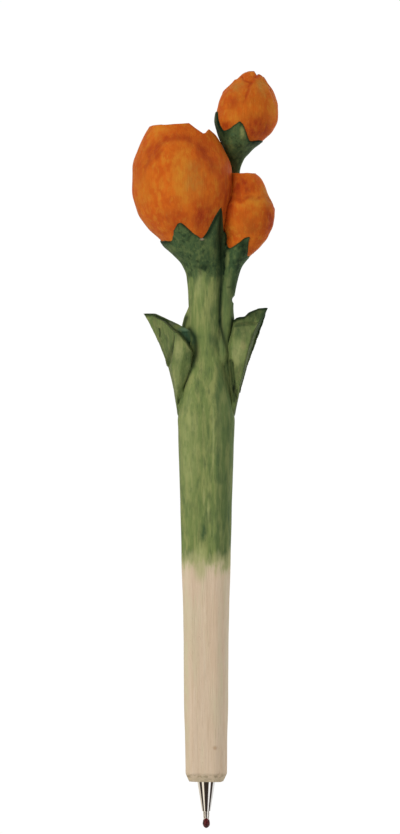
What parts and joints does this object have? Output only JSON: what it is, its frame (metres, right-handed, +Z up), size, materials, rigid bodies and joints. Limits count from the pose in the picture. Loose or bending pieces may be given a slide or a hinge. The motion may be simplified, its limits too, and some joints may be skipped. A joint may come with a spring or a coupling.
{
  "type": "carved wooden ballpoint pen",
  "caption": "Carved wooden ballpoint pen: a tapered barrel grows into closed tulips on bowed stems with folded leaves; the refill and the wax drop over its rolling ball pull out.",
  "frame": {"origin": "centre of the barrel's lower end face, where the refill's cone comes out", "axes": "+Z up the barrel towards the flowers, with the writing point down; -Y is the side the picture shows, with the large bloom on -X and the side bloom and the bud on +X"},
  "size_m": [0.0366, 0.0234, 0.1894],
  "materials": {
    "stained_stem_wood": "thin green stain over limewood, bare below",
    "orange_bloom_wood": "orange and ochre wash over knife-cut limewood",
    "dark_green_wood": "dark green stain over knife-cut limewood",
    "peg_wood": "plain hardwood",
    "cone_metal": "bright plated",
    "point_metal": "fine turned nickel silver",
    "ball_metal": "polished hard metal",
    "tube_plastic": "clear drawn tube",
    "ink": "thick paste",
    "grease": "clear yellowish grease",
    "sealing_wax": "dark red wax"
  },
  "bodies": {
    "barrel": {"carved_stem": "stained_stem_wood", "large_bloom": "orange_bloom_wood", "side_bloom": "orange_bloom_wood", "top_bud": "orange_bloom_wood", "bud_stem": "dark_green_wood", "left_leaf": "dark_green_wood", "right_leaf": "dark_green_wood", "large_bloom_peg": "peg_wood", "side_bloom_peg": "peg_wood", "bud_peg": "peg_wood", "leaf_pegs": "peg_wood"},
    "refill": {"nose_cone": "cone_metal", "ball_point": "point_metal", "ink_tube": "tube_plastic", "ink_column": "ink", "grease_follower": "grease"},
    "writing_ball": {"writing_ball": "ball_metal"},
    "tip_seal": {"tip_seal": "sealing_wax"}
  },
  "joints": [
    {"name": "refill_pull", "type": "slide", "parent": "barrel", "child": "refill", "axis": [0, 0, -1], "range_m": [0, 0.106]},
    {"name": "ball_roll", "type": "hinge", "parent": "refill", "child": "writing_ball", "pos_m": [0, 0, -0.01052], "axis": [1, 0, 0], "continuous": true},
    {"name": "tip_seal_pull", "type": "slide", "parent": "refill", "child": "tip_seal", "axis": [0, 0, -1], "range_m": [0, 0.012]}
  ]
}
